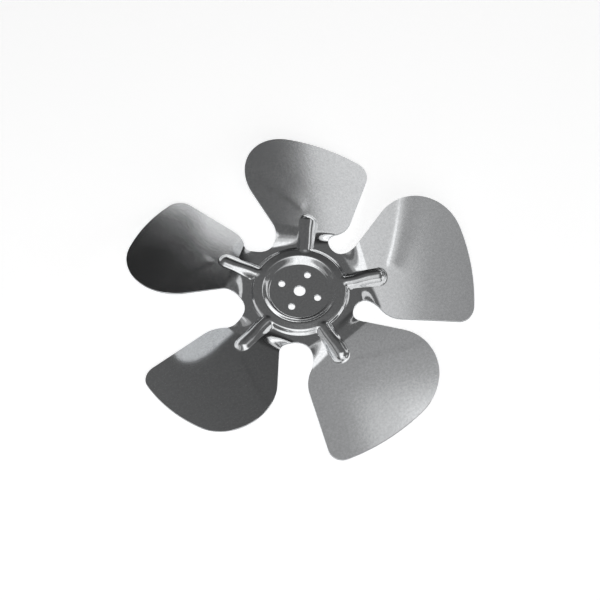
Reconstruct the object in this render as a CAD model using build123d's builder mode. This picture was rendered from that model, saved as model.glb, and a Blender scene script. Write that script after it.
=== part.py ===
# Pressed sheet-metal axial fan impeller with five blades.
#
# It is one piece of sheet. A blank is cut with five blades and a round relief
# notch between each two blade roots, a bead is pressed round the hub, a rib is
# pressed from the bead along the root of every blade, and each blade is twisted
# at its root to its pitch and slightly cambered.
#
# Millimetres and degrees. The origin is the centre of the bore on the seating
# (lower) side of the hub. +Z is the side where bead and ribs stand up. The rib
# of the first blade lies along +X, and a blade's counter-clockwise edge is its
# raised edge.

import os
from math import atan2, cos, degrees, hypot, radians, sin, tan

from build123d import *

# ------------------------------------------------------------------ dimensions

sheet = 1.5                    # thickness of the sheet
blade_count = 5
tip_radius = 115.0             # the impeller is 230 mm across

# holes in the hub
bore_diameter = 7.6
screw_hole_diameter = 4.5      # lets an M4 screw through
screw_hole_count = 4
screw_circle_diameter = 25.4
first_screw_angle = 55.4

# bead round the flat of the hub, heights above the flat
bead_inner_radius = 20.3
bead_crest_radius = 24.6
bead_crest_height = 2.8
bead_shoulder_radius = 30.2
bead_shoulder_height = 2.2
bead_outer_radius = 31.6
bead_rounding = 2.6            # at the crest
bead_wall_inset = 0.6          # keeps the steep outer wall of the bead thick

# blade in plan
notch_radius = 10.7
notch_circle_radius = 48.0     # the notches stand on this circle
notch_angle = 40.8             # from the rib to the notch on its raised side
raised_edge_slope = 41.4       # the straight raised edge leaves the notch at this angle
lobe_radius = 30.8             # the wide round between raised edge and tip
lowered_edge_radius = 100.0    # the straight lowered edge crosses this radius ...
lowered_edge_angle = -19.7     # ... at this angle from the rib
lowered_edge_slope = -11.5     # and makes this angle with the rib
tip_corner_radius = 10.2       # between lowered edge and tip
root_corner_radius = 19.4      # between lowered edge and notch

# blade in height
pitch = 20.4                   # slope of the blade across its rib
camber = 0.3                   # how far the blade falls below its own slope ...
camber_reach = 40.0            # ... at this distance across the rib
hub_margin = 1.4               # flat ring left outside the bead
twist_length = 13.6            # along the rib, from flat hub to full pitch
twist_start_lean = -14.0       # the twist starts nearer the bore on the raised side
twist_end_lean = -8.5          # and ends a little nearer there too
root_half_width = 27.0         # untrimmed widths of the blade
twist_half_width = 44.0
tip_half_width = 90.0

# rib
rib_width = 10.4               # at the surface of the hub
rib_height = 2.6
rib_reach = 59.3               # radius at which its round nose ends
rib_start_radius = 26.0        # the rib grows out of the roof of the bead here

# -------------------------------------------------------------- derived values

sector = 360 / blade_count
flat_radius = bead_outer_radius + hub_margin
twist_start = flat_radius / cos(radians(twist_start_lean))
twist_end = twist_start + twist_length
rib_radius = (rib_width**2 / 4 + rib_height**2) / (2 * rib_height)
rib_sink = rib_radius - rib_height          # its round centre is this far under the surface
clear_height = tip_radius / 2               # more than any height on the impeller


def polar(radius, angle):
    """Point in the plane of the hub at a radius and an angle from the rib."""
    return Vector(radius * cos(radians(angle)), radius * sin(radians(angle)))


# ------------------------------------------------------------- outline in plan

notch_centre = polar(notch_circle_radius, notch_angle)
other_notch_centre = polar(notch_circle_radius, notch_angle - sector)


def way_out(start, direction):
    """Point where a straight line from a start meets the circle of the tips."""
    along = start.dot(direction)
    return start + direction * ((along**2 + tip_radius**2 - start.dot(start)) ** 0.5 - along)


# The raised edge leaves the notch as its tangent and runs straight to the tip circle.
raised_start = notch_centre - polar(notch_radius, raised_edge_slope + 90)
raised_tip = way_out(raised_start, polar(1, raised_edge_slope))
raised_tip_angle = degrees(atan2(raised_tip.Y, raised_tip.X))

# The lowered edge runs from inside the other notch out to the tip circle.
lowered_point = polar(lowered_edge_radius, lowered_edge_angle)
lowered_direction = polar(1, lowered_edge_slope)
lowered_start = lowered_point + lowered_direction * (
    (other_notch_centre - lowered_point).dot(lowered_direction) + notch_radius / 2
)
lowered_tip = way_out(lowered_start, lowered_direction)
lowered_tip_angle = degrees(atan2(lowered_tip.Y, lowered_tip.X))

with BuildSketch() as blade_outline:
    with BuildLine():
        Polyline((0, 0), other_notch_centre, lowered_start, lowered_tip)
        CenterArc((0, 0), tip_radius, lowered_tip_angle, raised_tip_angle - lowered_tip_angle)
        Polyline(raised_tip, raised_start, notch_centre, (0, 0))
    make_face()
    fillet(blade_outline.vertices().sort_by_distance(raised_tip)[0], lobe_radius)
    fillet(blade_outline.vertices().sort_by_distance(lowered_tip)[0], tip_corner_radius)

with BuildSketch() as blank:
    with PolarLocations(0, blade_count):
        add(blade_outline.sketch)
    with PolarLocations(notch_circle_radius, blade_count, notch_angle):
        Circle(notch_radius, mode=Mode.SUBTRACT)
    notch_arcs = blank.edges().filter_by(GeomType.CIRCLE)
    notch_arcs = notch_arcs.filter_by(lambda arc: abs(arc.radius - notch_radius) < 0.01)
    root_corners = [
        max(arc.vertices(), key=lambda corner: hypot(corner.X, corner.Y)) for arc in notch_arcs
    ]
    fillet(root_corners, root_corner_radius)

# ---------------------------------------------------------------------- blades


def underside_height(across, twist):
    """Height of the blade's underside at a distance across the rib."""
    return twist * (across * tan(radians(pitch)) - camber * (across / camber_reach) ** 2)


def blade_section(distance, lean_angle, twist, half_width, thickness):
    """Section across the blade at a distance along the rib, with a share of the twist."""
    lean = radians(lean_angle)
    section_plane = Plane(
        origin=(distance, 0, 0),
        x_dir=(sin(lean), cos(lean), 0),
        z_dir=(cos(lean), -sin(lean), 0),
    )
    stations = [half_width * share for share in (-1, -0.5, 0, 0.5, 1)]
    lower = [(s, underside_height(s * cos(lean), twist)) for s in stations]
    upper = [(s, height + thickness) for s, height in lower]
    with BuildSketch(section_plane) as section:
        with BuildLine():
            Spline(*lower)
            Line(lower[-1], upper[-1])
            Spline(*reversed(upper))
            Line(upper[0], lower[0])
        make_face()
    return section.sketch


def blade_body(thickness):
    """One blade from the flat of the hub to its tip, trimmed to its outline."""
    twisting = []
    for share in (0, 0.25, 0.5, 0.75, 1):
        distance = twist_start + share * twist_length
        lean_angle = twist_start_lean + share * (twist_end_lean - twist_start_lean)
        half_width = root_half_width + share * (twist_half_width - root_half_width)
        twist = share**2 * (3 - 2 * share)
        twisting.append(blade_section(distance, lean_angle, twist, half_width, thickness))
    beyond_tip = blade_section(
        tip_radius + twist_half_width, twist_end_lean, 1, tip_half_width, thickness
    )
    with BuildPart() as body:
        loft(twisting)
        loft([twisting[-1], beyond_tip])
        extrude(blade_outline.sketch, amount=clear_height, both=True, mode=Mode.INTERSECT)
    return body.part


blade = blade_body(sheet)

# ------------------------------------------------------------------------ ribs


# The middle line of the rib starts level and turns with the blade, so that the rib
# stands square on the twisted blade where its nose ends.
rib_root = Vector(bead_shoulder_radius, 0, sheet - rib_sink)
rib_nose = Vector(
    rib_reach - rib_width / 2,
    rib_sink * sin(radians(pitch)),
    sheet - rib_sink * cos(radians(pitch)),
)


def rib_bar(radius):
    """Round bar along the rib with a ball nose, sunk so that only its top shows."""
    middle_line = rib_nose - rib_root
    plane = Plane(origin=rib_root, x_dir=middle_line, z_dir=middle_line.cross(Vector(0, 0, 1)))
    start = rib_start_radius - bead_shoulder_radius
    nose = middle_line.length
    with BuildPart() as bar:
        with BuildSketch(plane):
            with BuildLine():
                Polyline((start, 0), (start, -radius), (nose, -radius))
                CenterArc((nose, 0), radius, -90, 90)
                Line((nose + radius, 0), (start, 0))
            make_face()
        revolve(axis=Axis(rib_root, middle_line))
    return bar.part


with BuildSketch() as flat_hub:
    RegularPolygon(
        flat_radius,
        blade_count,
        major_radius=False,
        rotation=sector / 2 - twist_start_lean,
    )

with BuildPart() as over_the_sheet:
    extrude(flat_hub.sketch, amount=clear_height / 4)
    add(blade_body(clear_height / 4))

with BuildPart() as rib:
    add(rib_bar(rib_radius))
    add(over_the_sheet.part, mode=Mode.INTERSECT)

rib_hollow = rib_bar(rib_radius - sheet)

# ------------------------------------------------------------------------- bead


def bead_body(lift, inset, rounding):
    """Ring under the bead's surface, or under its hollow side."""
    with BuildPart() as ring:
        with BuildSketch(Plane.XZ) as profile:
            with BuildLine():
                Polyline(
                    (bead_inner_radius, lift - sheet),
                    (bead_inner_radius, lift),
                    (bead_crest_radius, lift + bead_crest_height),
                    (bead_shoulder_radius - inset, lift + bead_shoulder_height),
                    (bead_outer_radius - inset, lift),
                    (bead_outer_radius - inset, lift - sheet),
                    close=True,
                )
            make_face()
            fillet(profile.vertices().sort_by(Axis.Y)[-1], rounding)
        revolve()
    return ring.part


# --------------------------------------------------------------- whole impeller

with BuildPart() as impeller:
    extrude(flat_hub.sketch, amount=sheet)
    add(bead_body(sheet, 0, bead_rounding))
    with PolarLocations(0, blade_count):
        add(blade)
        add(rib.part)
    with PolarLocations(0, blade_count):
        add(rib_hollow, mode=Mode.SUBTRACT)
    add(bead_body(0, bead_wall_inset, bead_rounding - sheet), mode=Mode.SUBTRACT)
    extrude(blank.sketch, amount=clear_height, both=True, mode=Mode.INTERSECT)
    Hole(bore_diameter / 2)
    with PolarLocations(screw_circle_diameter / 2, screw_hole_count, first_screw_angle):
        Hole(screw_hole_diameter / 2)

os.makedirs("parts", exist_ok=True)
impeller.part.label = "impeller"
export_step(impeller.part, "parts/impeller.step")
print("impeller", round(impeller.part.volume), "mm3,", len(impeller.solids()), "solid")
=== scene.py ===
# %% [markdown]
# # An axial fan impeller, pressed from one sheet
#
# The real object is a single piece of bright sheet metal. A press cuts a blank with
# five blades, raises a bead round the hub and a rib on every blade root, and twists
# the blades to their pitch. There is nothing to assemble, so the work in Blender is
# the sheet itself: how softly it bends, how its cut edges shine, and what it mirrors.
# The measured impeller comes in first. It gives the sizes and the place.

# %% Load the measured impeller
import bpy
import math
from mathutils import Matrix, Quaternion, Vector


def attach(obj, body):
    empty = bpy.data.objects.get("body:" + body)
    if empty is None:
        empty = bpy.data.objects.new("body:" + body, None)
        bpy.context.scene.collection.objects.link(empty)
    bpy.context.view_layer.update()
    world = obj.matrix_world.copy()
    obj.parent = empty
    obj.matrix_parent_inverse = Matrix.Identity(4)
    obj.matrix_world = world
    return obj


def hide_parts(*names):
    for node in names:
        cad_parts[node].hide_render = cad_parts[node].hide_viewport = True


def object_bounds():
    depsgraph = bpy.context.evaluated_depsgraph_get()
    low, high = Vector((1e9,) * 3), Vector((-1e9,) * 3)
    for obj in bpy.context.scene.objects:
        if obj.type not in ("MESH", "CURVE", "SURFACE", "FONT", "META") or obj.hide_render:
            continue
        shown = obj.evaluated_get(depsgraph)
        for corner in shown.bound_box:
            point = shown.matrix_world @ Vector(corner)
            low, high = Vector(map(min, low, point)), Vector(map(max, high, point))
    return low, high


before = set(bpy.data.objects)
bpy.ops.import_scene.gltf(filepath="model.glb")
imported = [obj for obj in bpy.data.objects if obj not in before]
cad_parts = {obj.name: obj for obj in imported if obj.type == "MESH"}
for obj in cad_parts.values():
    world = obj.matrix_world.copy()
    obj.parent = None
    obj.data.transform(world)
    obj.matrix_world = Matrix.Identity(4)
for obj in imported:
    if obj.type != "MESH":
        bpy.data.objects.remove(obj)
measured_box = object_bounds()
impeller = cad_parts["impeller"]
bpy.ops.object.select_all(action="DESELECT")
print("impeller:", len(impeller.data.polygons), "faces,", len(impeller.data.materials), "slot")

# %% [markdown]
# ## Directions as the viewer sees them
#
# The rib of the first blade lies along +X. A viewer who stands in front of the
# impeller doesn't see that rib point straight right, but turned a little away, which
# is counter-clockwise. Lamps and camera are easier to place by what the viewer sees:
# so far to the right, so far away, so far up. One helper turns such a place into the
# impeller's own axes.

# %% Places by right, away and up
FIRST_RIB_TURN = math.radians(11.3)
HUB_FACE = 0.0015


def seen(right, away, up):
    """Place given as metres to the right, away from the viewer and up from the hub."""
    cos_turn = math.cos(FIRST_RIB_TURN)
    sin_turn = math.sin(FIRST_RIB_TURN)
    return Vector((
        right * cos_turn + away * sin_turn,
        away * cos_turn - right * sin_turn,
        up + HUB_FACE,
    ))


print("straight away is", tuple(round(v, 3) for v in seen(0, 1, 0)))

# %% [markdown]
# ## The pressed sheet
#
# The measured impeller has crisp feet under its ribs and bead. A press can't make
# those: sheet always leaves the die with soft bends, and on a bright metal each bend
# draws its own streak of light. So the sheet is made once more, with the measured
# outline, pitch and bead, but with soft bends and slightly fuller ribs. It starts as
# a flat blank that is cut to its outline and filled with points, close together where
# the die bends it. Each point is then lifted to its height in the die, and the whole
# skin is extruded down by the thickness of the sheet. All sizes are millimetres until
# the mesh is made.

# %% Sizes of the blank
import numpy as np
from mathutils.geometry import delaunay_2d_cdt

MM = 0.001
BLADES = 5
SECTOR = math.tau / BLADES
SHEET = 1.5
TIP_RADIUS = 115.0
NOTCH_RADIUS = 10.7
NOTCH_CIRCLE = 48.0
NOTCH_TURN = math.radians(40.8)
RAISED_SLOPE = math.radians(41.4)
LOBE_RADIUS = 30.8
LOWERED_RADIUS = 100.0               # the lowered edge crosses this radius
LOWERED_TURN = math.radians(-19.7)   # at this turn from the rib
LOWERED_SLOPE = math.radians(-11.5)
TIP_CORNER = 10.2
ROOT_CORNER = 19.4
BORE = 3.8                           # a radius, as all sizes of holes and circles are
SCREW_HOLE = 2.25
SCREW_HOLES = 4
SCREW_CIRCLE = 12.7
FIRST_SCREW = math.radians(55.4)
EDGE_STEP = 0.9                      # between points along a curved edge
BORE_POINTS = 32
SCREW_HOLE_POINTS = 24
print("a sector of the blank is", round(math.degrees(SECTOR)), "degrees")

# %% Helpers for points, arcs and straight edges


def polar(radius, turn):
    """Point in the plane of the hub."""
    return np.array((radius * math.cos(turn), radius * math.sin(turn)))


def turned(points, turn):
    """Points turned about the bore."""
    cos_turn, sin_turn = math.cos(turn), math.sin(turn)
    return np.asarray(points) @ np.array(((cos_turn, sin_turn), (-sin_turn, cos_turn)))


def arc(centre, radius, start, end):
    """Points along an arc, from one point to the other the short way round."""
    first = math.atan2(*(start - centre)[::-1])
    sweep = (math.atan2(*(end - centre)[::-1]) - first + math.pi) % math.tau - math.pi
    count = max(2, round(abs(sweep) * radius / EDGE_STEP))
    return [centre + polar(radius, first + sweep * i / count) for i in range(count)]


def straight(start, end):
    """Points along a straight edge."""
    count = max(1, round(math.dist(start, end) / (2 * EDGE_STEP)))
    return [start + (end - start) * i / count for i in range(count)]


def towards(start, end, distance):
    """Point at a distance from a start, on the way to an end."""
    return start + (end - start) * distance / math.dist(start, end)


def round_centre(point, slope, inset, from_centre, reach):
    """Centre of a corner round: inset from a line, and at a reach from another centre."""
    along, across = polar(1, slope), polar(inset, slope + math.pi / 2)
    start = point + across - from_centre
    middle = -start @ along
    half = math.sqrt(middle**2 - start @ start + reach**2)
    return start + from_centre + along * (middle + half)


print("half a bore has", len(arc(np.zeros(2), BORE, polar(BORE, 0), polar(BORE, 3))), "points")

# %% [markdown]
# The cut edge of a blade starts at the bottom of one notch. It runs round the notch,
# out along the lowered edge, over the tip, back along the raised edge and into the
# next notch. It is made of arcs and straight lines that meet without a kink, as a
# toolmaker would draw it, so the centre of each round is found from what it touches.

# %% Outline of one blade, from one notch to the next
bore_centre = np.zeros(2)
notch = polar(NOTCH_CIRCLE, NOTCH_TURN)
other_notch = polar(NOTCH_CIRCLE, NOTCH_TURN - SECTOR)
raised_start = notch - polar(NOTCH_RADIUS, RAISED_SLOPE + math.pi / 2)
lowered_point = polar(LOWERED_RADIUS, LOWERED_TURN)

lobe = round_centre(
    raised_start, RAISED_SLOPE, -LOBE_RADIUS, bore_centre, TIP_RADIUS - LOBE_RADIUS
)
corner = round_centre(
    lowered_point, LOWERED_SLOPE, TIP_CORNER, bore_centre, TIP_RADIUS - TIP_CORNER
)
root = round_centre(
    lowered_point, LOWERED_SLOPE, ROOT_CORNER, other_notch, NOTCH_RADIUS + ROOT_CORNER
)
below_lowered = polar(1, LOWERED_SLOPE - math.pi / 2)
left_of_raised = polar(1, RAISED_SLOPE + math.pi / 2)

notch_bottom = polar(NOTCH_CIRCLE - NOTCH_RADIUS, NOTCH_TURN - SECTOR)
next_notch_bottom = turned([notch_bottom], SECTOR)[0]
root_in = towards(other_notch, root, NOTCH_RADIUS)
root_out = root + below_lowered * ROOT_CORNER
corner_in = corner + below_lowered * TIP_CORNER
corner_out = towards(bore_centre, corner, TIP_RADIUS)
lobe_in = towards(bore_centre, lobe, TIP_RADIUS)
lobe_out = lobe + left_of_raised * LOBE_RADIUS
blade_edge = (
    arc(other_notch, NOTCH_RADIUS, notch_bottom, root_in)
    + arc(root, ROOT_CORNER, root_in, root_out)
    + straight(root_out, corner_in)
    + arc(corner, TIP_CORNER, corner_in, corner_out)
    + arc(bore_centre, TIP_RADIUS, corner_out, lobe_in)
    + arc(lobe, LOBE_RADIUS, lobe_in, lobe_out)
    + straight(lobe_out, raised_start)
    + arc(notch, NOTCH_RADIUS, raised_start, next_notch_bottom)
)
outline = np.vstack([turned(blade_edge, k * SECTOR) for k in range(BLADES)])
holes = [(bore_centre, BORE, BORE_POINTS)]
for k in range(SCREW_HOLES):
    screw_centre = polar(SCREW_CIRCLE, FIRST_SCREW + k * math.tau / SCREW_HOLES)
    holes.append((screw_centre, SCREW_HOLE, SCREW_HOLE_POINTS))
print("outline:", len(outline), "points, box", outline.min(0).round(1), outline.max(0).round(1))

# %% [markdown]
# The blank needs points where it bends. Rings of points follow the bead, rows follow
# each rib and the crease beyond it, and the nearly flat blades get by with few. Rows
# are staggered, so that the triangles between them are even. Whatever falls outside
# the outline or into a hole is dropped, and a Delaunay fill joins the rest to the cut
# edges.

# %% Helpers for rings and rows of points
CREASE_START = np.array((60.3, 4.1))
CREASE_END = np.array((77.7, 43.8))
CREASE_LENGTH = math.dist(CREASE_START, CREASE_END)
CREASE_ALONG = (CREASE_END - CREASE_START) / CREASE_LENGTH
CREASE_ACROSS = np.array((-CREASE_ALONG[1], CREASE_ALONG[0]))


def rings(radii, count):
    """Rings of points round the bore."""
    turns = np.arange(count) * math.tau / count
    return np.vstack([np.column_stack((r * np.cos(turns), r * np.sin(turns))) for r in radii])


def rows(zone, steps):
    """Staggered rows of points in the rectangle of a zone."""
    (x_range, y_range), (x_step, y_step) = zone, steps
    x, y = np.meshgrid(np.arange(*x_range, x_step), np.arange(*y_range, y_step))
    x[1::2] += x_step / 2
    return np.column_stack((x.ravel(), y.ravel()))


def from_crease(points):
    """Distances along and across the crease."""
    offset = points - CREASE_START
    return offset @ CREASE_ALONG, offset @ CREASE_ACROSS


def in_zone(points, zone, gap):
    """Which points lie in the rectangle of a zone, or nearer to it than a gap."""
    (x_low, x_high), (y_low, y_high) = zone
    x, y = points.T
    return (x > x_low - gap) & (x < x_high + gap) & (y > y_low - gap) & (y < y_high + gap)


print("the crease is", round(CREASE_LENGTH, 1), "mm long")

# %% Rows of points for one blade
RIB_ZONE = ((34.0, 62.0), (-8.5, 9.5))
RIB_STEPS = (0.6, 0.5)
CREASE_WIDTH = 6.0                   # on each side of the crease
CREASE_RUN_OUT = 4
LAST_ROW = 0.1                       # lets the last row count
CREASE_ZONE = ((0, CREASE_LENGTH + CREASE_RUN_OUT), (-CREASE_WIDTH, CREASE_WIDTH + LAST_ROW))
CREASE_STEPS = (1.0, 0.5)
NEAR_ZONE = ((20, 68), (-45, 60))
NEAR_STEPS = (1.0, 0.87)
FAR_ZONE = ((20, 116), (-60, 100))
FAR_STEPS = (2.2, 1.9)
TWIST_ZONE_END = 64.0                # radius where the far rows take over
FAR_GAP = 0.8                        # between the near rows and the far ones
CREASE_RIB_GAP = 0.4
PLAIN_RIB_GAP = 0.5
PLAIN_CREASE_GAP = 0.6

along, across = rows(CREASE_ZONE, CREASE_STEPS).T[..., None]
crease_rows = CREASE_START + along * CREASE_ALONG + across * CREASE_ACROSS
crease_rows = crease_rows[~in_zone(crease_rows, RIB_ZONE, CREASE_RIB_GAP)]
near_rows = rows(NEAR_ZONE, NEAR_STEPS)
near_rows = near_rows[np.hypot(*near_rows.T) < TWIST_ZONE_END]
far_rows = rows(FAR_ZONE, FAR_STEPS)
far_rows = far_rows[np.hypot(*far_rows.T) > TWIST_ZONE_END + FAR_GAP]
plain_rows = np.vstack((near_rows, far_rows))
plain_rows = plain_rows[~in_zone(plain_rows, RIB_ZONE, PLAIN_RIB_GAP)]
along, across = from_crease(plain_rows)
beside_crease = np.abs(across) > CREASE_WIDTH + PLAIN_CREASE_GAP
plain_rows = plain_rows[beside_crease | (along < -PLAIN_CREASE_GAP)]
blade_rows = np.vstack((rows(RIB_ZONE, RIB_STEPS), crease_rows, plain_rows))
print("rows:", len(blade_rows), "points for one blade")

# %% Keep the points that lie in metal
HUB_RINGS = (6, 9, 16.5)
HUB_RING_POINTS = 60
BEAD_ZONE = (18.6, 33.6)
BEAD_RING_STEP = 0.5
BEAD_RING_POINTS = 360
BEAD_GAP = 0.4                       # between the last ring and the rows
EDGE_GAP = 0.35                      # no point is nearer to the outline than this
HOLE_GAP = 0.6
BATCHES = 40                         # keep the table of distances small


def inside_outline(points):
    """Which points lie inside the outline and clear of it."""
    start, end = outline, np.roll(outline, -1, axis=0)
    way = end - start
    rise = np.where(way[:, 1], way[:, 1], 1)
    length = np.einsum("ij,ij->i", way, way)
    kept = []
    for batch in np.array_split(points, BATCHES):
        offset = batch[:, None] - start
        share = np.clip(np.einsum("ijk,jk->ij", offset, way) / length, 0, 1)
        nearest = np.linalg.norm(offset - share[..., None] * way, axis=2).min(1)
        x, y = batch[:, :1], batch[:, 1:]
        crosses = (start[:, 1] > y) != (end[:, 1] > y)
        crossed_at = start[:, 0] + (y - start[:, 1]) * way[:, 0] / rise
        odd = (crosses & (x < crossed_at)).sum(1) % 2 == 1
        kept.append(odd & (nearest > EDGE_GAP))
    return np.concatenate(kept)


turn_of_row = np.arctan2(blade_rows[:, 1], blade_rows[:, 0])
own_side = (turn_of_row > NOTCH_TURN - SECTOR) & (turn_of_row < NOTCH_TURN)
blade_rows = blade_rows[own_side & (np.hypot(*blade_rows.T) > BEAD_ZONE[1] + BEAD_GAP)]
filling = np.vstack(
    [rings(HUB_RINGS, HUB_RING_POINTS)]
    + [rings(np.arange(*BEAD_ZONE, BEAD_RING_STEP), BEAD_RING_POINTS)]
    + [turned(blade_rows, k * SECTOR) for k in range(BLADES)]
)
filling = filling[inside_outline(filling)]
for centre, radius, _ in holes:
    filling = filling[np.linalg.norm(filling - centre, axis=1) > radius + HOLE_GAP]
print("filling:", len(filling), "points")

# %% Join the points to a flat blank
INSIDE_EDGES = 1                     # fills what the outline encloses, holes too
MERGE_DISTANCE = 1e-5
loops = [outline] + [centre + rings((radius,), count) for centre, radius, count in holes]
cut_edges = []
for loop in loops:
    first = len(cut_edges)
    cut_edges += [(first + i, first + (i + 1) % len(loop)) for i in range(len(loop))]
flat_points = [Vector(point) for point in np.vstack(loops + [filling])]
joined = delaunay_2d_cdt(flat_points, cut_edges, [], INSIDE_EDGES, MERGE_DISTANCE)
blank = np.array([tuple(point) for point in joined[0]])
triangles = np.array([face for face in joined[2] if len(face) == 3])
middles = blank[triangles].mean(axis=1)
for centre, radius, _ in holes:
    in_metal = np.linalg.norm(middles - centre, axis=1) > radius
    triangles, middles = triangles[in_metal], middles[in_metal]
print("blank:", len(blank), "points,", len(triangles), "triangles")

# %% [markdown]
# ## The die
#
# Four things lift a point of the blank. The blade turns about its rib from the flat
# hub to its full pitch. The bead is a ring with a rounded crest and sloping roof, and
# averaging its angular section over a short width gives it soft bends. The rib is a
# round back with a ball nose, which a smooth maximum joins to the sheet and the bead.
# A very shallow crease runs from the nose of the first rib to the raised edge, steep
# on one side and gentle on the other. The other blades show only a trace of it.

# %% Height of the twisted blade
PITCH = math.radians(20.4)
CAMBER = 0.3 / 40**2                 # 0.3 mm at 40 mm from the rib
TWIST_LEAN = math.radians(-14.0)
END_LEAN = math.radians(-8.5)
FLAT_RADIUS = 33.0                   # the hub is flat out to here
TWIST_START = FLAT_RADIUS / math.cos(TWIST_LEAN)
TWIST_LENGTH = 13.6
LEAN_ROUNDS = 6                      # the lean grows along the twist, so it is found in rounds


def own_axes(points):
    """Points turned into the axes of their own blade, and the turn of each."""
    turns = np.arctan2(points[:, 1], points[:, 0])
    steps = np.floor((turns - NOTCH_TURN) / SECTOR + 1) * SECTOR
    cos_turn, sin_turn = np.cos(steps), np.sin(steps)
    x = points[:, 0] * cos_turn + points[:, 1] * sin_turn
    y = points[:, 1] * cos_turn - points[:, 0] * sin_turn
    return x, y, cos_turn, sin_turn


def blade_height(x, y):
    """Height of the twisted blade above the flat hub."""
    share = np.zeros_like(x)
    for _ in range(LEAN_ROUNDS):
        lean = np.tan(TWIST_LEAN + share * (END_LEAN - TWIST_LEAN))
        share = np.clip((x - TWIST_START - y * lean) / TWIST_LENGTH, 0, 1)
    return share**2 * (3 - 2 * share) * (y * math.tan(PITCH) - CAMBER * y**2)


height = blade_height(np.array([100]), np.array([40]))[0]
print("40 mm across the rib, a blade stands", height.round(1), "mm up")

# %% Height of the bead
BEAD_SECTION = ((20.3, 0), (24.6, 2.8), (30.2, 2.2), (31.6, 0))
BEAD_SOFTNESS = 0.8
BEAD_SAMPLES = 15


def bead_height(x, y):
    """Height of the bead above the flat hub."""
    radius = np.hypot(x, y)
    section_radii, section_heights = zip(*BEAD_SECTION)
    offsets = np.linspace(-1, 1, BEAD_SAMPLES)
    weights = np.cos(offsets * math.pi / 2)
    return sum(
        weight * np.interp(radius + offset * BEAD_SOFTNESS, section_radii, section_heights)
        for offset, weight in zip(offsets, weights)
    ) / weights.sum()


print("the crest of the bead is at", bead_height(24.6, 0).round(2), "mm")

# %% Height of a rib
RIB_ROOT = 31.0
RIB_NOSE = 57.7
RIB_HEIGHT = 3.1
RIB_HALF_WIDTH = 5.2
RIB_OFFSET = 0.5
FOOT_SOFTNESS = 1.2


def soft_max(first, second, softness):
    """The larger of two heights, with a round where they meet."""
    meeting = np.clip(1 - np.abs(first - second) / softness, 0, 1)
    return np.maximum(first, second) + softness / 4 * meeting**2


def rib_height(x, y):
    """Height of the rib above the blade it stands on."""
    back_radius = (RIB_HALF_WIDTH**2 + RIB_HEIGHT**2) / (2 * RIB_HEIGHT)
    on_axis = np.clip(x, RIB_ROOT, RIB_NOSE - RIB_HALF_WIDTH)
    from_axis = np.hypot(x - on_axis, y - RIB_OFFSET)
    back = np.sqrt(np.maximum(back_radius**2 - from_axis**2, 0)) - (back_radius - RIB_HEIGHT)
    return soft_max(back, np.zeros_like(back), FOOT_SOFTNESS)


print("the back of a rib is at", rib_height(45, RIB_OFFSET).round(2), "mm")

# %% Height of the crease
CREASE_HEIGHT = 0.2
CREASE_BOW = 1.0
CREASE_FADE = 4                      # length over which it rises
STEEP_WIDTH = (1.9, 0.9)             # at the start, and what the length adds
GENTLE_WIDTH = (6.0, 3.0)
OTHER_CREASES = 0.25                 # share of its height on the other blades


def crease_height(x, y, is_first):
    """Height of the crease above the blade."""
    along, across = from_crease(np.column_stack((x, y)))
    spread = np.clip(along / CREASE_LENGTH, 0, 1)
    across = across + 4 * CREASE_BOW * spread * (1 - spread)
    start_width, added_width = np.where(
        across > 0, np.reshape(STEEP_WIDTH, (2, 1)), np.reshape(GENTLE_WIDTH, (2, 1))
    )
    width = start_width + added_width * spread
    fade_in = np.clip(along / CREASE_FADE, 0, 1)
    crease = CREASE_HEIGHT * fade_in * np.exp(-((across / width) ** 2))
    return crease * np.where(is_first, 1, OTHER_CREASES)


print("the crease adds up to", CREASE_HEIGHT, "mm")

# %% [markdown]
# Bead, rib and crease stand square on the sheet, so what they add moves a point along
# the normal of the twisted blade and not straight up.

# %% Press the blank
SMALL = 0.05                         # step for measuring a slope
BEAD_FOOT = 0.01                     # the bead counts from this height
NEVER_ZERO = 1e-6
FIRST_BLADE = 0.99                   # only the first blade has a turn with a larger cosine
x, y, cos_turn, sin_turn = own_axes(blank)
slope_x = (blade_height(x + SMALL, y) - blade_height(x - SMALL, y)) / (2 * SMALL)
slope_y = (blade_height(x, y + SMALL) - blade_height(x, y - SMALL)) / (2 * SMALL)
steepness = np.sqrt(1 + slope_x**2 + slope_y**2)
bead = bead_height(x, y)
foot = FOOT_SOFTNESS * (bead > BEAD_FOOT) + NEVER_ZERO
on_first_blade = cos_turn > FIRST_BLADE
raised = soft_max(bead, rib_height(x, y), foot) + crease_height(x, y, on_first_blade)
raised = raised / steepness
x, y, z = x - slope_x * raised, y - slope_y * raised, SHEET + blade_height(x, y) + raised
pressed = np.column_stack((x * cos_turn - y * sin_turn, x * sin_turn + y * cos_turn, z)) * MM
print("pressed heights from", pressed[:, 2].min().round(5), "to", pressed[:, 2].max().round(5))

# %% [markdown]
# ## From skin to sheet
#
# The pressed skin becomes a mesh. In edit mode it is extruded straight down by the
# thickness of the sheet, which closes it, and its normals are set to face outwards.
# A very small bevel breaks the cut edges, because a broken edge is what glints.

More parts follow.
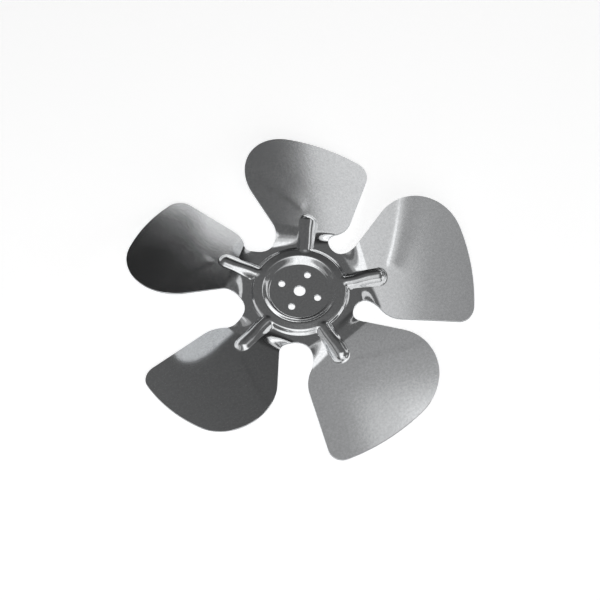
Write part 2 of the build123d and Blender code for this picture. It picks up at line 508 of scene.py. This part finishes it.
# %% Extrude the skin and break its edges
EDGE_BREAK = 0.15 * MM
CUT_EDGE_ANGLE = math.radians(65)    # edges sharper than this were cut
SMOOTH_ANGLE = math.radians(31)
mesh = bpy.data.meshes.new("pressed_sheet")
mesh.from_pydata(pressed.tolist(), [], triangles.tolist())
sheet = bpy.data.objects.new("pressed_sheet", mesh)
bpy.context.scene.collection.objects.link(sheet)
bpy.context.view_layer.objects.active = sheet
sheet.select_set(True)
bpy.ops.object.mode_set(mode="EDIT")
bpy.ops.mesh.select_all(action="SELECT")
bpy.ops.mesh.delete_loose()
bpy.ops.mesh.select_all(action="SELECT")
bpy.ops.mesh.extrude_region_move(TRANSFORM_OT_translate={"value": (0, 0, -SHEET * MM)})
bpy.ops.mesh.select_all(action="SELECT")
bpy.ops.mesh.normals_make_consistent(inside=False)
bpy.ops.object.mode_set(mode="OBJECT")
edge_break = sheet.modifiers.new("edge_break", "BEVEL")
edge_break.limit_method = "ANGLE"
edge_break.angle_limit = CUT_EDGE_ANGLE
edge_break.width = EDGE_BREAK
edge_break.segments = 1
bpy.ops.object.modifier_apply(modifier="edge_break")
bpy.ops.object.shade_smooth_by_angle(angle=SMOOTH_ANGLE)
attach(sheet, "root")
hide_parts("impeller")
sheet.select_set(False)
print("sheet:", len(mesh.vertices), "points,", len(mesh.polygons), "faces")

# %% [markdown]
# ## Its surface
#
# Bright rolled sheet is a metal with a soft gloss. It mirrors lamps and dark corners
# of a room as blurred patches, and a close look finds a fine mottle in that mirror:
# the rolls leave tiny hills, so some specks catch the lamp and others do not. Three
# noise patterns of different size carry that: clouds in the gloss over several
# centimetres, a mottle of a millimetre or two, and a grain of half a millimetre.

# %% Helpers for materials
NOISE_RANGE = (0.3, 0.7)             # noise seldom leaves this range


def new_material(name):
    """Empty material with a Principled shader."""
    material = bpy.data.materials.new(name)
    material.use_nodes = True
    nodes = material.node_tree.nodes
    nodes.clear()
    output = nodes.new("ShaderNodeOutputMaterial")
    shader = nodes.new("ShaderNodeBsdfPrincipled")
    material.node_tree.links.new(shader.outputs["BSDF"], output.inputs["Surface"])
    return material, shader


def noise(material, place, scale, detail, roughness=0.5):
    """Noise texture on a place socket."""
    node = material.node_tree.nodes.new("ShaderNodeTexNoise")
    node.inputs["Scale"].default_value = scale
    node.inputs["Detail"].default_value = detail
    node.inputs["Roughness"].default_value = roughness
    material.node_tree.links.new(place, node.inputs["Vector"])
    return node.outputs["Fac"]


def ranged(material, value, from_range, to_range):
    """Value stretched from one range to another and held inside it."""
    node = material.node_tree.nodes.new("ShaderNodeMapRange")
    node.inputs["From Min"].default_value, node.inputs["From Max"].default_value = from_range
    node.inputs["To Min"].default_value, node.inputs["To Max"].default_value = to_range
    material.node_tree.links.new(value, node.inputs["Value"])
    return node.outputs["Result"]


def blended(material, factor, first, second):
    """Colour between two colours."""
    node = material.node_tree.nodes.new("ShaderNodeMix")
    node.data_type = "RGBA"
    node.inputs["A"].default_value = (*first, 1)
    node.inputs["B"].default_value = (*second, 1)
    material.node_tree.links.new(factor, node.inputs["Factor"])
    return node.outputs["Result"]


def bumped(material, height, strength, distance, below=None):
    """Normal with bumps of a height, on top of the bumps below."""
    node = material.node_tree.nodes.new("ShaderNodeBump")
    node.inputs["Strength"].default_value = strength
    node.inputs["Distance"].default_value = distance
    material.node_tree.links.new(height, node.inputs["Height"])
    if below is not None:
        material.node_tree.links.new(below, node.inputs["Normal"])
    return node.outputs["Normal"]


print("noise is read from", *NOISE_RANGE)

# %% Material: bright rolled sheet
DARK_SPECK = (0.60, 0.61, 0.62)
BRIGHT_SPECK = (0.72, 0.73, 0.74)
SHEET_GLOSS = (0.1, 0.135)           # roughness from the glossiest cloud to the dullest
sheet_metal, sheet_shader = new_material("bright_rolled_sheet")
sheet_links = sheet_metal.node_tree.links
sheet_place = sheet_metal.node_tree.nodes.new("ShaderNodeTexCoord").outputs["Object"]
clouds = noise(sheet_metal, sheet_place, scale=28, detail=3)
mottle = noise(sheet_metal, sheet_place, scale=700, detail=3, roughness=0.6)
grain = noise(sheet_metal, sheet_place, scale=1800, detail=2)

speck = ranged(sheet_metal, mottle, NOISE_RANGE, (0, 1))
sheet_colour = blended(sheet_metal, speck, DARK_SPECK, BRIGHT_SPECK)
sheet_gloss = ranged(sheet_metal, clouds, NOISE_RANGE, SHEET_GLOSS)
hills = bumped(sheet_metal, mottle, strength=0.15, distance=0.06 * MM)
fine_hills = bumped(sheet_metal, grain, strength=0.2, distance=0.02 * MM, below=hills)
sheet_shader.inputs["Metallic"].default_value = 1.0
sheet_links.new(sheet_colour, sheet_shader.inputs["Base Color"])
sheet_links.new(sheet_gloss, sheet_shader.inputs["Roughness"])
sheet_links.new(fine_hills, sheet_shader.inputs["Normal"])
sheet.data.materials.append(sheet_metal)
print("sheet metal has", len(sheet_metal.node_tree.nodes), "nodes")

# %% [markdown]
# The cut edge is another surface. The press shears the sheet, which leaves a wall
# that is grey and rough, with fine marks that run from face to face. It gets its own
# material, on the faces that stand upright, while the narrow broken edges above and
# below it stay bright.

# %% Material: sheared edge
DARK_MARK = (0.26, 0.27, 0.28)
BRIGHT_MARK = (0.46, 0.47, 0.48)
SHEARED_GLOSS = (0.34, 0.5)
MARK_STRETCH = (1, 1, 0.12)          # draws the marks out from face to face
UPRIGHT = 0.2                        # an upright face has a normal that rises less
sheared, sheared_shader = new_material("sheared_edge")
sheared_links = sheared.node_tree.links
sheared_place = sheared.node_tree.nodes.new("ShaderNodeTexCoord").outputs["Object"]
stretched = sheared.node_tree.nodes.new("ShaderNodeMapping")
stretched.inputs["Scale"].default_value = MARK_STRETCH
sheared_links.new(sheared_place, stretched.inputs["Vector"])
marks = noise(sheared, stretched.outputs["Vector"], scale=1500, detail=2)
wear = noise(sheared, sheared_place, scale=60, detail=3)

mark = ranged(sheared, marks, NOISE_RANGE, (0, 1))
sheared_colour = blended(sheared, mark, DARK_MARK, BRIGHT_MARK)
sheared_gloss = ranged(sheared, wear, NOISE_RANGE, SHEARED_GLOSS)
scores = bumped(sheared, marks, strength=0.4, distance=0.04 * MM)
sheared_shader.inputs["Metallic"].default_value = 1.0
sheared_links.new(sheared_colour, sheared_shader.inputs["Base Color"])
sheared_links.new(sheared_gloss, sheared_shader.inputs["Roughness"])
sheared_links.new(scores, sheared_shader.inputs["Normal"])

sheet.data.materials.append(sheared)
upright = [face for face in sheet.data.polygons if abs(face.normal.z) < UPRIGHT]
for face in upright:
    face.material_index = 1
print(len(upright), "upright faces are sheared edge")

# %% [markdown]
# ## Floor
#
# The impeller lies on the lowered corners of its blades, so the floor is just under
# the lowest point of its box. It is a plain pale disc, and its rim is extruded up and
# outwards in a few steps, so that no edge of it shows behind the impeller. It glows a
# little for the viewer and in mirrors only, so it looks pale and still takes a shadow.

# %% Floor disc with a raised rim
FLOOR_RADIUS = 4.0
FLOOR_POINTS = 96
FLOOR_GAP = 0.2 * MM
RIM_STEPS = ((0.25, 0.05), (0.2, 0.15), (0.1, 0.25), (0.0, 0.3))   # outwards and up
RIM_SMOOTH_ANGLE = math.radians(40)
floor_height = measured_box[0].z - FLOOR_GAP
bpy.ops.mesh.primitive_circle_add(
    vertices=FLOOR_POINTS, radius=FLOOR_RADIUS, fill_type="NGON", location=(0, 0, floor_height)
)
floor = bpy.context.object
floor.name = "floor"
bpy.ops.object.mode_set(mode="EDIT")
bpy.ops.mesh.select_all(action="SELECT")
bpy.ops.mesh.region_to_loop()
rim_radius = FLOOR_RADIUS
for outwards, upwards in RIM_STEPS:
    grown = (rim_radius + outwards) / rim_radius
    bpy.ops.mesh.extrude_region_move(TRANSFORM_OT_translate={"value": (0, 0, upwards)})
    bpy.ops.transform.resize(value=(grown, grown, 1), center_override=(0, 0, floor_height))
    rim_radius += outwards
bpy.ops.object.mode_set(mode="OBJECT")
bpy.ops.object.shade_smooth_by_angle(angle=RIM_SMOOTH_ANGLE)
floor.select_set(False)
print("floor at", round(floor_height / MM, 2), "mm, rim out to", round(rim_radius, 2), "m")

# %% Material: pale floor
FLOOR_COLOUR = (0.92, 0.92, 0.92, 1)
WHITE = (1, 1, 1, 1)
FLOOR_ROUGHNESS = 0.95
FLOOR_GLOW = 0.56
floor_material, floor_shader = new_material("pale_floor")
floor_nodes = floor_material.node_tree.nodes
floor_links = floor_material.node_tree.links
floor_shader.inputs["Base Color"].default_value = FLOOR_COLOUR
floor_shader.inputs["Roughness"].default_value = FLOOR_ROUGHNESS
floor_shader.inputs["Emission Color"].default_value = WHITE
rays = floor_nodes.new("ShaderNodeLightPath")
seen_rays = rays.outputs["Is Camera Ray"]
for kind in ("Is Glossy Ray", "Is Transmission Ray"):
    either = floor_nodes.new("ShaderNodeMath")
    either.operation = "MAXIMUM"
    floor_links.new(seen_rays, either.inputs[0])
    floor_links.new(rays.outputs[kind], either.inputs[1])
    seen_rays = either.outputs["Value"]
glow = ranged(floor_material, seen_rays, (0, 1), (0, FLOOR_GLOW))
floor_links.new(glow, floor_shader.inputs["Emission Strength"])
floor.data.materials.append(floor_material)
print("floor material has", len(floor_nodes), "nodes")

# %% [markdown]
# ## Light
#
# Metal shows what stands round it. The room itself is dim, and darkest low on the far
# side, where the blades on the left look. Overhead, a little towards the viewer, three
# soft boxes hang one inside the other, so that their light falls off softly to the
# sides. Another box hangs beyond the impeller on the right and lights the top blade. A
# low bright wall, with a narrow step at its left end, stands on the far side. Three
# more boxes, in front and at both sides, fill the views from other angles. Each blade
# leans a different way, so each takes a different grey.

# %% Room
ROOM = 0.15
DARK_CORNER = 0.03
DARK_CORNER_PLACE = (0.04, 0.91, 0.41)
DARK_CORNER_RANGE = (0.82, 0.99)     # cosines from its rim to its darkest part
world = bpy.data.worlds.new("studio")
bpy.context.scene.world = world
world.use_nodes = True
world_nodes = world.node_tree.nodes
world_links = world.node_tree.links
background = world_nodes["Background"]
background.inputs["Color"].default_value = WHITE
direction = world_nodes.new("ShaderNodeTexCoord").outputs["Generated"]
towards_dark = world_nodes.new("ShaderNodeVectorMath")
towards_dark.operation = "DOT_PRODUCT"
towards_dark.inputs[1].default_value = seen(*DARK_CORNER_PLACE) - seen(0, 0, 0)
world_links.new(direction, towards_dark.inputs[0])
room_light = ranged(
    world, towards_dark.outputs["Value"], DARK_CORNER_RANGE, (ROOM, DARK_CORNER)
)
world_links.new(room_light, background.inputs["Strength"])
print("room light", ROOM, "and", DARK_CORNER, "in the dark corner")

# %% Lamps


def lamp(name, place, size, brightness, turn=0.0, aim=None):
    """Soft box of a size and brightness at a seen place; hangs level unless aimed."""
    data = bpy.data.lights.new(name, "AREA")
    data.shape = "RECTANGLE"
    wide, tall = size
    data.size, data.size_y = wide, tall
    data.energy = brightness * math.pi * wide * tall
    holder = bpy.data.objects.new(name, data)
    bpy.context.scene.collection.objects.link(holder)
    holder.location = seen(*place)
    if aim is None:
        holder.rotation_euler = (0, 0, math.radians(turn) - FIRST_RIB_TURN)
    else:
        way = seen(*aim) - holder.location
        holder.rotation_euler = way.to_track_quat("-Z", "Y").to_euler()
    return holder


HUB = (0, 0, 0)
lamps = [
    lamp("overhead_wing", (-0.2, -0.56, 1.02), (1.42, 1.5), 0.25, turn=6),
    lamp("overhead_box", (-0.08, -0.57, 1.0), (0.88, 1.24), 0.42, turn=6),
    lamp("overhead_core", (-0.09, -0.54, 0.98), (0.62, 1.1), 0.55, turn=6),
    lamp("right_box", (1.25, 0.85, 1.0), (0.8, 0.9), 0.76, turn=17),
    lamp("far_wall", (1.35, 2.6, 0.49), (2.3, 1.02), 0.92, aim=(1.35, 0, 0.49)),
    lamp("far_step", (0.12, 2.58, 0.43), (0.22, 0.9), 0.85, aim=(0.12, 0, 0.43)),
    lamp("front_box", (0.5, -2.0, 1.3), (2.2, 1.4), 0.85, aim=HUB),
    lamp("left_fill", (-2.2, -0.5, 0.9), (1.6, 1.2), 0.35, aim=HUB),
    lamp("right_fill", (2.2, -0.6, 0.8), (1.6, 1.2), 0.9, aim=HUB),
]
print("lamps:", ", ".join(one.name for one in lamps))

# %% [markdown]
# ## Camera
#
# The viewer looks at the face of the hub from the front, well above the floor.

# %% Camera
CAMERA_DISTANCE = 0.711
CAMERA_TILT = math.radians(28.39)    # from straight above
CAMERA_ROLL = math.radians(0.548)
SENSOR_WIDTH = 36
LENS = 65.57
LENS_SHIFT = (0.0006, -0.0157)
camera_data = bpy.data.cameras.new("camera")
camera = bpy.data.objects.new("camera", camera_data)
bpy.context.scene.collection.objects.link(camera)
camera.location = seen(
    0, -CAMERA_DISTANCE * math.sin(CAMERA_TILT), CAMERA_DISTANCE * math.cos(CAMERA_TILT)
)
look = seen(*HUB) - camera.location
camera.rotation_mode = "QUATERNION"
camera.rotation_quaternion = look.to_track_quat("-Z", "Y")
camera.rotation_quaternion.rotate(Quaternion(look, -CAMERA_ROLL))
camera_data.sensor_width = SENSOR_WIDTH
camera_data.lens = LENS
camera_data.shift_x, camera_data.shift_y = LENS_SHIFT
bpy.context.scene.camera = camera
bpy.context.scene.view_settings.view_transform = "Standard"
print("camera is", CAMERA_DISTANCE, "m from the hub, lens", LENS, "mm")
